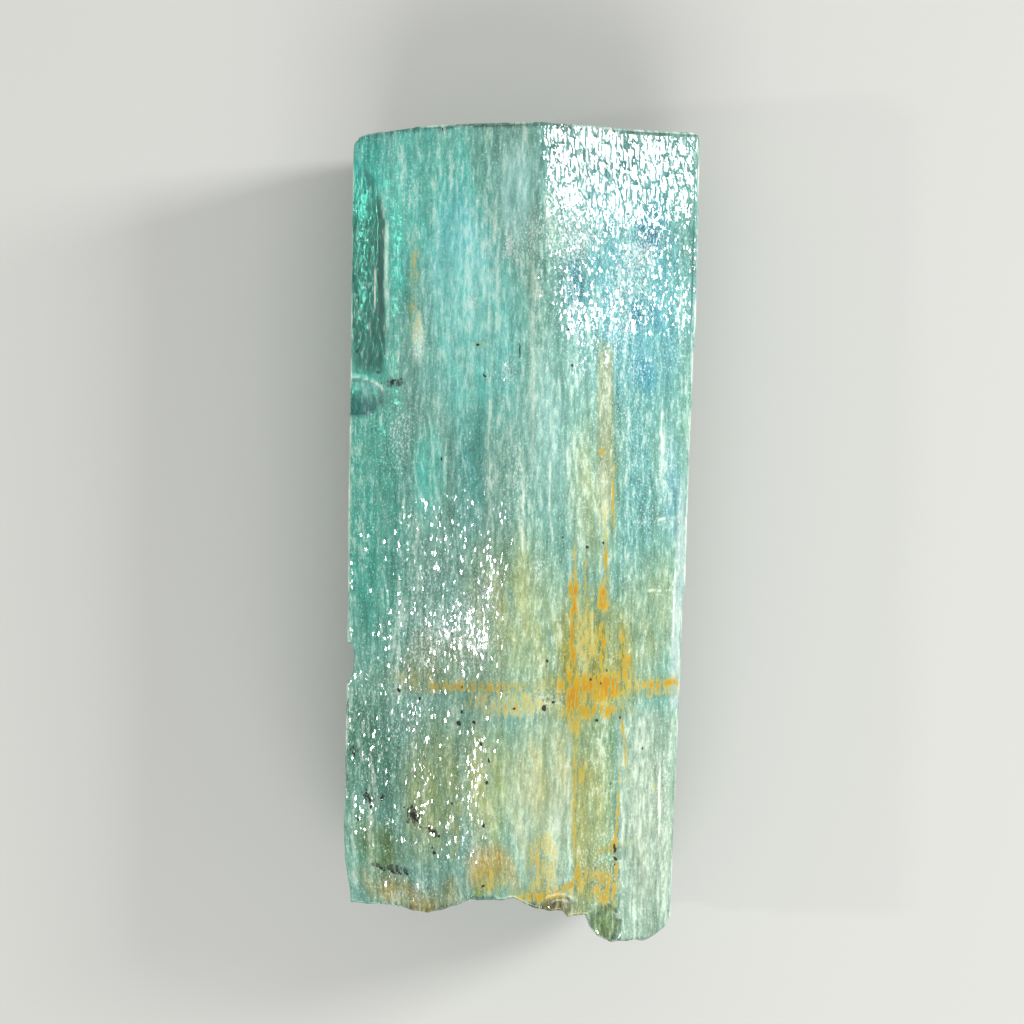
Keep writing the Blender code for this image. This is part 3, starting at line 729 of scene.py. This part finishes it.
wears.inputs["Material"].default_value = beryl
mesh.materials.append(beryl)
relief = crystal.modifiers.new("relief", "NODES")
relief.node_group = faces_tree
for item in faces_tree.interface.items_tree:
    if item.in_out == "INPUT" and item.name in RELIEF:
        relief[item.identifier] = RELIEF[item.name]
evaluated = crystal.evaluated_get(bpy.context.evaluated_depsgraph_get())
finished = bpy.data.meshes.new_from_object(evaluated)
crystal.modifiers.clear()
crystal.data = finished

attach(crystal, "root")
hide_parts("crystal")


# Mineral grains: tiny black crystals and brown-black lumps that grew in the cracks and on the faces.
GRAINS = [  # x, y, width, length, turn in degrees
    (-1.81, 7.69, 0.08, 0.24, 55), (2.21, 9.85, 0.11, 0.12, 0), (2.40, 8.16, 0.11, 0.11, 20), (-3.92, 3.69, 0.10, 0.10, 0),
    (-6.06, -7.66, 0.16, 0.22, 35), (-5.01, -8.02, 0.11, 0.13, 0), (-2.93, -8.63, 0.11, 0.15, 20), (-3.08, -9.17, 0.22, 0.26, 60),
    (-2.34, -9.10, 0.11, 0.20, 40), (-2.93, -7.41, 0.10, 0.10, 0), (1.05, -8.37, 0.24, 0.26, 10), (1.48, -8.08, 0.12, 0.16, 70),
    (-2.00, -10.15, 0.10, 0.20, 15), (-1.61, -10.91, 0.10, 0.22, 20), (-1.71, -11.98, 0.12, 0.16, 0), (-3.42, -13.09, 0.10, 0.13, 0),
    (-1.86, -14.07, 0.12, 0.18, 0), (-8.09, -14.13, 0.10, 0.14, 0), (4.28, -12.11, 0.09, 0.09, 0), (3.14, -0.60, 0.13, 0.18, 30),
    (3.93, -0.41, 0.13, 0.13, 0), (1.96, -0.11, 0.09, 0.09, 0), (4.48, -15.20, 0.12, 0.32, 5), (-2.15, 9.20, 0.16, 0.11, 0),
    (-0.11, 8.88, 0.05, 0.62, 2), (3.80, -7.20, 0.10, 0.10, 0), (3.30, -7.00, 0.10, 0.12, 0),
    (4.10, -6.60, 0.09, 0.10, 0), (1.20, -6.10, 0.10, 0.14, 0), (3.60, -9.00, 0.12, 0.12, 0), (4.75, -8.90, 0.10, 0.16, 0),
    (-1.9, -17.0, 0.16, 0.10, 20), (-8.2, 9.1, 0.06, 0.20, -20), (5.9, -10.5, 0.08, 0.08, 0), (-0.4, -8.4, 0.12, 0.08, 30),
]
CRUSTS = [  # ragged crusts of small grains: middle, half size, turn in degrees, grains
    (-7.58, -13.05, 0.34, 0.12, -55, 14), (-6.94, -13.0, 0.22, 0.08, 60, 8), (-5.31, -13.75, 0.38, 0.15, -35, 20),
    (-4.46, -14.45, 0.30, 0.06, -30, 9), (-4.28, -15.5, 0.22, 0.05, -60, 7), (-6.2, -16.6, 0.60, 0.10, -8, 14),
    (-6.3, 7.55, 0.50, 0.10, 5, 12), (-8.3, -10.8, 0.20, 0.25, 0, 7), (4.5, -15.6, 0.06, 0.45, 0, 7),
]
surface = BVHTree.FromPolygons([v.co for v in finished.vertices], [p.vertices for p in finished.polygons])


def on_surface(x, y, sink=0.0):
    """The point of the upper faces at x and y in mm, sunk by so many mm, and the face's normal."""
    hit, out, _, _ = surface.ray_cast(Vector((x, y, 40.0)) * MM, Vector((0, 0, -1)))
    return hit - out * (sink * MM), out


def point_cloud(name, rows):
    """A mesh of loose points with a size and a turn each, for the instances to stand on."""
    cloud = bpy.data.meshes.new(name)
    cloud.from_pydata([row[0] for row in rows], [], [])
    cloud.attributes.new("size", "FLOAT_VECTOR", "POINT").data.foreach_set("vector", np.ravel([row[1] for row in rows]))
    cloud.attributes.new("turn", "FLOAT_VECTOR", "POINT").data.foreach_set("vector", np.ravel([row[2] for row in rows]))
    made = bpy.data.objects.new(name, cloud)
    bpy.context.collection.objects.link(made)
    return made


crust_rng = np.random.default_rng(17)
for cx, cy, half_a, half_b, angle, count in CRUSTS:
    c, s = math.cos(math.radians(angle)), math.sin(math.radians(angle))
    for a, b, size in crust_rng.normal(size=(count, 3)).tolist():
        a, b, size = a * half_a * 0.6, b * half_b * 0.6, 0.05 + 0.04 * abs(size)
        GRAINS.append((cx + a * c - b * s, cy + a * s + b * c, size, size * (1.0 + 2.0 * abs(b)), angle + 90 + 300 * b))
grain_rows = []
for gx, gy, wide, long, turn in GRAINS:
    place, out = on_surface(gx, gy, -0.01)
    lean = Vector((0, 0, 1)).rotation_difference(out) @ Quaternion((0, 0, 1), math.radians(turn))
    grain_rows.append((place, (1.05 * wide * MM, 1.10 * long * MM, 0.08 * MM), tuple(lean.to_euler())))

grains_tree = bpy.data.node_groups.new("lumps_on_points", "GeometryNodeTree")
grains_tree.interface.new_socket("Geometry", in_out="INPUT", socket_type="NodeSocketGeometry")
grains_tree.interface.new_socket("Geometry", in_out="OUTPUT", socket_type="NodeSocketGeometry")
grains_tree.interface.new_socket("Lumpiness", in_out="INPUT", socket_type="NodeSocketFloat")
grains_tree.interface.new_socket("Lump Size", in_out="INPUT", socket_type="NodeSocketFloat")
grains_tree.interface.new_socket("Subdivisions", in_out="INPUT", socket_type="NodeSocketInt")


def vector_of(tree, name):
    return add(tree, "GeometryNodeInputNamedAttribute", {"Name": name}, data_type="FLOAT_VECTOR").outputs["Attribute"]


entry = add(grains_tree, "NodeGroupInput").outputs
ball = add(grains_tree, "GeometryNodeMeshIcoSphere", {"Radius": 0.5, "Subdivisions": entry["Subdivisions"]})
stood = add(grains_tree, "GeometryNodeInstanceOnPoints", {
    "Points": entry["Geometry"], "Instance": ball.outputs[0],
    "Rotation": vector_of(grains_tree, "turn"), "Scale": vector_of(grains_tree, "size"),
})
loose = add(grains_tree, "GeometryNodeRealizeInstances", {"Geometry": stood.outputs[0]})
at = add(grains_tree, "GeometryNodeInputPosition")
per_lump = add(grains_tree, "ShaderNodeMath", {0: 1.0, 1: entry["Lump Size"]}, operation="DIVIDE")
rough = add(grains_tree, "ShaderNodeTexNoise", {"Vector": at.outputs[0], "Scale": per_lump.outputs[0], "Detail": 1.0})
centred = add(grains_tree, "ShaderNodeVectorMath", {0: rough.outputs["Color"], 1: (0.5, 0.5, 0.5)}, operation="SUBTRACT")
pushed = add(grains_tree, "ShaderNodeVectorMath", {0: centred.outputs[0], "Scale": entry["Lumpiness"]}, operation="SCALE")
lumpy = add(grains_tree, "GeometryNodeSetPosition", {"Geometry": loose.outputs[0], "Offset": pushed.outputs[0]})
painted = add(grains_tree, "GeometryNodeSetMaterial", {"Geometry": lumpy.outputs[0]})
add(grains_tree, "NodeGroupOutput", {"Geometry": painted.outputs[0]})


def grow(cloud, tree, painted_by, material, values):
    """Runs a tree on a point cloud with the named inputs, and keeps the mesh that it makes."""
    painted_by.inputs["Material"].default_value = material
    modifier = cloud.modifiers.new(tree.name, "NODES")
    modifier.node_group = tree
    for item in tree.interface.items_tree:
        if item.in_out == "INPUT" and item.name in values:
            modifier[item.identifier] = values[item.name]
    made = bpy.data.meshes.new_from_object(cloud.evaluated_get(bpy.context.evaluated_depsgraph_get()))
    cloud.modifiers.clear()
    cloud.data = made
    made.materials.clear()
    made.materials.append(material)
    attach(cloud, "root")


def mineral(name, dark, light, scale, rough):
    """An opaque mineral whose colour wanders between two tones."""
    made = bpy.data.materials.new(name)
    made.use_nodes = True
    nodes = made.node_tree
    nodes.nodes.clear()
    at = add(nodes, "ShaderNodeTexCoord").outputs["Object"]
    cloudy = add(nodes, "ShaderNodeTexNoise", {"Vector": at, "Scale": scale * 1000, "Detail": 2.0}).outputs[0]
    mask = add(nodes, "ShaderNodeMapRange", {"Value": cloudy, "From Min": 0.35, "From Max": 0.65}).outputs[0]
    tone = add(nodes, "ShaderNodeMix", {0: mask, 6: linear(dark), 7: linear(light)}, data_type="RGBA").outputs[2]
    shader = add(nodes, "ShaderNodeBsdfPrincipled", {
        "Base Color": tone, "Roughness": rough, "IOR": 1.6,
    })
    add(nodes, "ShaderNodeOutputMaterial", {"Surface": shader.outputs[0]})
    return made


grow(
    point_cloud("mineral_grains", grain_rows), grains_tree, painted,
    mineral("black_manganese_oxide", "#070907", "#1C1D12", 9.0, 0.8),
    {"Lumpiness": 0.12 * MM, "Lump Size": 0.14 * MM, "Subdivisions": 3},
)


# Iron films: flakes of orange iron oxide that dried in the cracks inside the crystal. One crack
# crosses it, the others run along it and down from the upper faces.
IRON_CRACKS = [  # one corner, the two sides, flakes
    ((-3.2, -6.4, 5.0), (10.8, 0.3, 0.0), (0.0, -2.0, 6.6), 900), ((2.30, -8.0, 7.0), (0.25, 9.0, 0.0), (0.1, 0.0, 5.3), 420),
    ((4.00, -5.5, 7.5), (0.25, 9.0, 0.0), (0.0, 0.0, 3.6), 300), ((2.40, -17.6, 7.5), (0.0, 9.0, 0.0), (0.1, 0.0, 4.6), 260),
    ((4.55, -18.2, 6.5), (0.1, 9.6, 0.0), (0.0, 0.0, 4.4), 320),
]
rng = np.random.default_rng(11)
flake_rows = []
for corner, side_a, side_b, count in IRON_CRACKS:
    a, b = Vector(side_a), Vector(side_b)
    lean = a.cross(b).to_track_quat("Z", "Y").to_euler()
    for u, v, size, turn in rng.uniform(size=(count, 4)).tolist():
        place = Vector(corner) + a * u + b * v
        place.x += rng.normal() * 0.05
        clump = wave(u * 10.0, v * 6.0, 12, 2.0) + 0.5 * wave(u * 10.0, v * 6.0, 13, 0.7)
        roof_here, _ = on_surface(place.x, place.y, 0.12)
        if clump < -0.1 or place.z * MM > roof_here.z:
            continue
        wide = (0.10 + 0.32 * size**2) * MM
        flake_rows.append((place * MM, (wide, wide * (0.7 + 0.9 * turn), 0.02 * MM), (lean.x, lean.y, lean.z + 6.28 * turn)))
grow(
    point_cloud("iron_films", flake_rows), grains_tree, painted,
    mineral("iron_oxide_film", "#9A5608", "#E0A820", 4.0, 0.5),
    {"Lumpiness": 0.03 * MM, "Lump Size": 0.12 * MM, "Subdivisions": 2},
)


# Growth tubes: hair-thin hollow channels along the prism, typical of beryl, that catch the light
# as pale threads; between them lie flat veils of fluid drops where old cracks healed.
TUBES = 420
VEILS = [  # one corner, the two sides, drops
    ((-1.6, 4.0, 10.0), (2.2, 0.4, 0.6), (0.4, 12.0, 1.0), 420), ((4.6, -3.0, 8.0), (2.6, 0.0, 0.4), (0.2, 12.0, 0.6), 380),
    ((-7.0, -9.0, 6.0), (3.2, 0.6, 1.2), (0.0, 9.0, 0.8), 360), ((-6.9, 2.0, 7.0), (1.2, 0.0, 1.0), (0.5, 7.0, 0.4), 260),
]
tube_rows = []
for fx, fy, depth, length, wide in rng.uniform(size=(TUBES, 5)).tolist():
    tx, ty = -7.6 + 14.6 * fx, -16.5 + 34.5 * fy
    place, out = on_surface(tx, ty, 0.25 + 3.5 * depth**1.6)
    tube_rows.append((place, ((0.03 + 0.04 * wide) * MM, (0.8 + 4.5 * length**2) * MM, (0.03 + 0.04 * wide) * MM), (0.0, 0.0, 0.0)))
for corner, side_a, side_b, count in VEILS:
    for u, v, size, turn in rng.uniform(size=(count, 4)).tolist():
        place = Vector(corner) + Vector(side_a) * u + Vector(side_b) * v
        place.z += 0.15 * math.sin(u * 9) + 0.1 * rng.normal()
        wide = (0.04 + 0.10 * size**3) * MM
        tube_rows.append((place * MM, (wide, wide * (1 + 2 * turn), 0.02 * MM), (0.5 * turn, 0.3, 3.0 * turn)))
grow(
    point_cloud("tubes_and_veils", tube_rows), grains_tree, painted,
    mineral("fluid_filled_hollows", "#C9E4DA", "#F6FAF2", 2.0, 0.2),
    {"Lumpiness": 0.015 * MM, "Lump Size": 0.3 * MM, "Subdivisions": 2},
)


# The table: a plain pale matt surface under the crystal.
TABLE_HALF = 400 * MM
TABLE_GAP = 0.02 * MM
plane = bpy.data.meshes.new("table")
h = TABLE_HALF
plane.from_pydata([(-h, -h, -TABLE_GAP), (h, -h, -TABLE_GAP), (h, h, -TABLE_GAP), (-h, h, -TABLE_GAP)], [], [(0, 1, 2, 3)])
table = bpy.data.objects.new("table", plane)
bpy.context.collection.objects.link(table)
paint = bpy.data.materials.new("pale_table")
paint.use_nodes = True
paint.node_tree.nodes["Principled BSDF"].inputs["Base Color"].default_value = linear("#B2B2AE")
paint.node_tree.nodes["Principled BSDF"].inputs["Roughness"].default_value = 0.7
plane.materials.append(paint)


# Light: three soft boxes and an even pale surround.
world = bpy.data.worlds.new("studio")
bpy.context.scene.world = world
world.use_nodes = True
world.node_tree.nodes["Background"].inputs["Color"].default_value = (1, 1, 1, 1)
world.node_tree.nodes["Background"].inputs["Strength"].default_value = 0.65
for name, place, size, watts in (
    ("right_box", (256, 70, 147), (62, 110), 0.85),
    ("left_box", (-223.5, -19.3, 177.7), (10, 18), 0.11),
    ("front_box", (20, -280, 260), (320, 260), 1.2),
):
    light = bpy.data.lights.new(name, "AREA")
    light.shape = "RECTANGLE"
    light.size, light.size_y = size[0] * MM, size[1] * MM
    light.energy = watts
    lamp = bpy.data.objects.new(name, light)
    lamp.location = Vector(place) * MM
    lamp.rotation_euler = (Vector((0, 0, 7 * MM)) - lamp.location).to_track_quat("-Z", "Y").to_euler()
    bpy.context.collection.objects.link(lamp)
